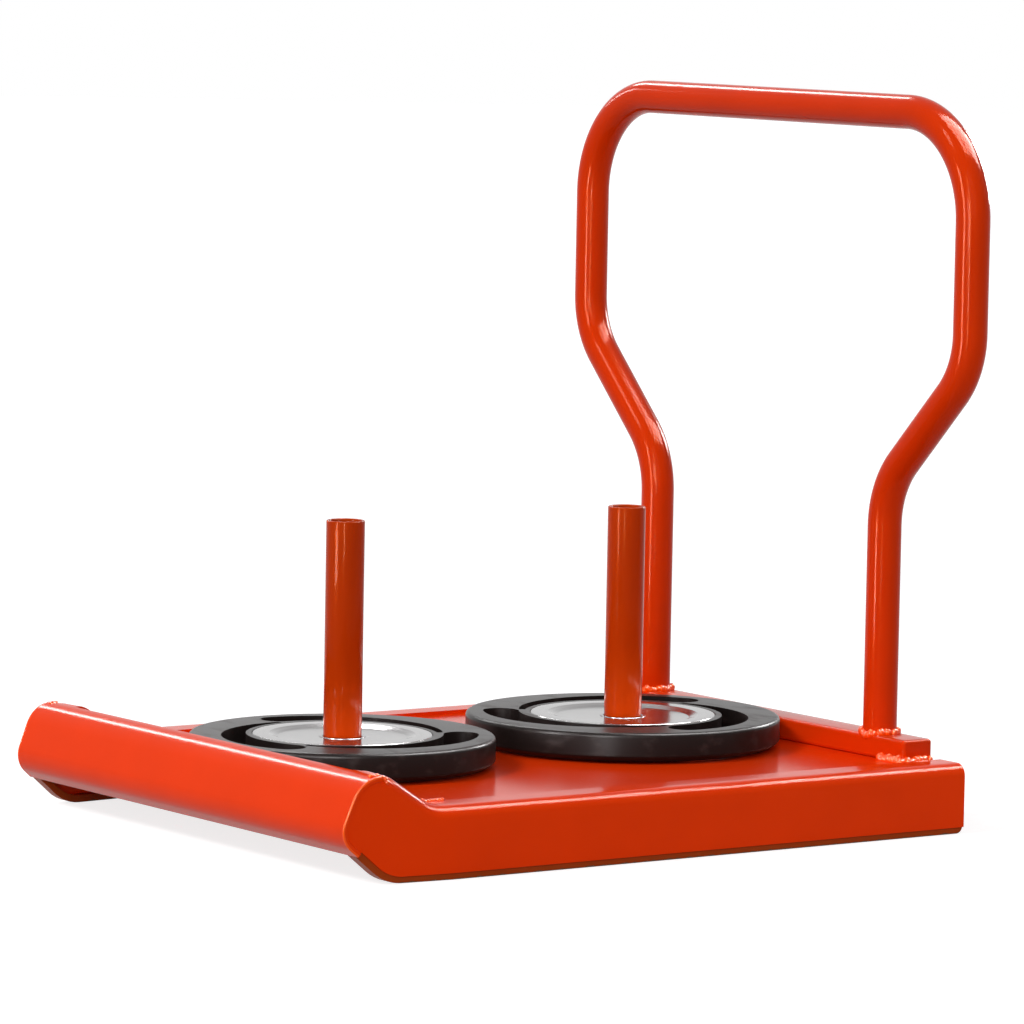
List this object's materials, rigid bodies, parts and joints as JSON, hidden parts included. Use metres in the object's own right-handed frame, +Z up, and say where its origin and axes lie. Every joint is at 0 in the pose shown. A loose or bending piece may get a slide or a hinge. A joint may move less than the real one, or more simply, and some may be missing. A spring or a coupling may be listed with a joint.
{
  "type": "weight sled",
  "caption": "Low plate-loaded push sled with a rolled raised nose, upright plate posts, round rubber weight plates and a tall bent tube handle.",
  "frame": {"origin": "on the floor, at the middle of the sled's length and width", "axes": "+X to the nose, +Y to the sled's left side, +Z up along the plate posts"},
  "size_m": [0.962, 0.883, 0.9565],
  "materials": {
    "frame_paint": "glossy powder coat, smooth",
    "handle_paint": "glossy powder coat on tube",
    "post_paint": "satin powder coat",
    "weld_paint": "powder coat over weld beads",
    "under_paint": "powder coat, thin and dull",
    "skid_paint": "powder coat, rubbed on the underside",
    "plate_rubber": "smooth moulded rubber with a slight gloss",
    "plate_steel": "satin, machined",
    "bush_steel": "turned"
  },
  "bodies": {
    "sled": {"deck_plate": "frame_paint", "nose_sheet": "frame_paint", "side_member_left": "frame_paint", "side_member_right": "frame_paint", "skid_left": "skid_paint", "skid_right": "skid_paint", "skid_welds_left": "weld_paint", "skid_welds_right": "weld_paint", "cross_member_front": "under_paint", "cross_member_rear": "under_paint", "crossbar": "frame_paint", "crossbar_cap_left": "frame_paint", "crossbar_cap_right": "frame_paint", "crossbar_weld_left": "weld_paint", "crossbar_weld_right": "weld_paint", "handle_tube": "handle_paint", "handle_weld_left": "weld_paint", "handle_weld_right": "weld_paint", "post_front": "post_paint", "post_rear": "post_paint", "post_weld_front": "weld_paint", "post_weld_rear": "weld_paint", "nose_weld_left": "weld_paint", "nose_weld_right": "weld_paint"},
    "front_plate": {"plate_front_body": "plate_rubber", "plate_front_disc": "plate_steel", "plate_front_bush": "bush_steel"},
    "rear_plate": {"plate_rear_body": "plate_rubber", "plate_rear_disc": "plate_steel", "plate_rear_bush": "bush_steel"}
  },
  "joints": [
    {"name": "front_plate_lift", "type": "slide", "parent": "sled", "child": "front_plate", "axis": [0, 0, 1], "range_m": [0, 0.33]},
    {"name": "rear_plate_lift", "type": "slide", "parent": "sled", "child": "rear_plate", "axis": [0, 0, 1], "range_m": [0, 0.33]}
  ]
}
